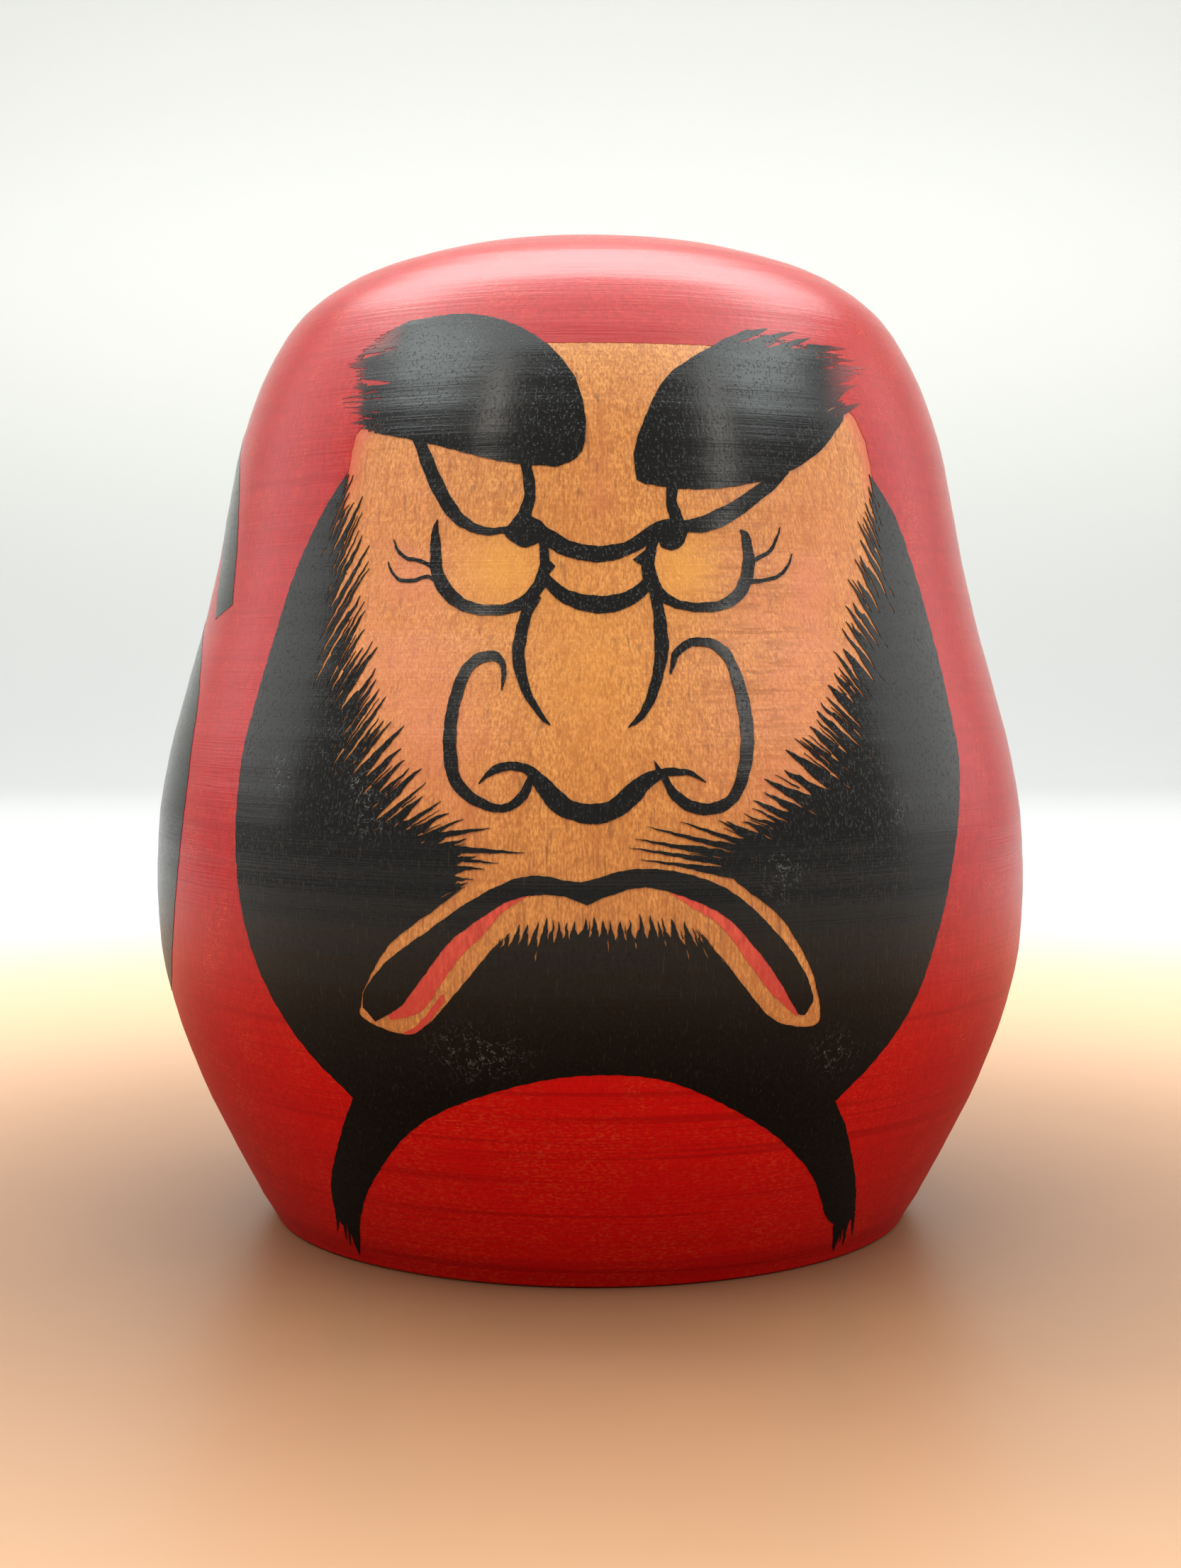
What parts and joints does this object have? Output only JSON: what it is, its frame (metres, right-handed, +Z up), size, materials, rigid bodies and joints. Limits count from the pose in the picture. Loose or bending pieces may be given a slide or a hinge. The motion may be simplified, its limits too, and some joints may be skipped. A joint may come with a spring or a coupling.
{
  "type": "daruma doll",
  "caption": "Turned wooden daruma doll with a round belly, red dyed robe, bare wood face and bold black brush-drawn brows, beard and features, standing on a flat foot disc.",
  "frame": {"origin": "middle of the flat underside, on the surface that the doll stands on", "axes": "+Z up along the turning axis, -Y the way the face looks, +X to the right of someone facing the doll"},
  "size_m": [0.108, 0.108, 0.12],
  "materials": {
    "bare_wood": "waxed, fine vertical grain with short dark flecks",
    "red_dye": "translucent water dye under wax, grain and turning lines show through",
    "black_ink": "satin brushed ink under wax",
    "lip_dye": "translucent water dye under wax"
  },
  "bodies": {
    "root": {"body": "bare_wood", "foot_disc": "bare_wood", "robe_dye": "red_dye", "foot_dye": "red_dye", "brow_left": "black_ink", "brow_right": "black_ink", "lid_line_left": "black_ink", "lid_line_right": "black_ink", "eye_pouch_left": "black_ink", "eye_pouch_right": "black_ink", "lashes_left": "black_ink", "lashes_right": "black_ink", "bridge_line_upper": "black_ink", "bridge_line_lower": "black_ink", "nose_side_left": "black_ink", "nose_side_right": "black_ink", "nostril_left": "black_ink", "nostril_right": "black_ink", "nose_tip_line": "black_ink", "mouth_line": "black_ink", "lip_left": "lip_dye", "lip_right": "lip_dye", "beard": "black_ink", "sleeve_stroke_upper": "black_ink", "sleeve_stroke_lower": "black_ink"}
  },
  "joints": []
}
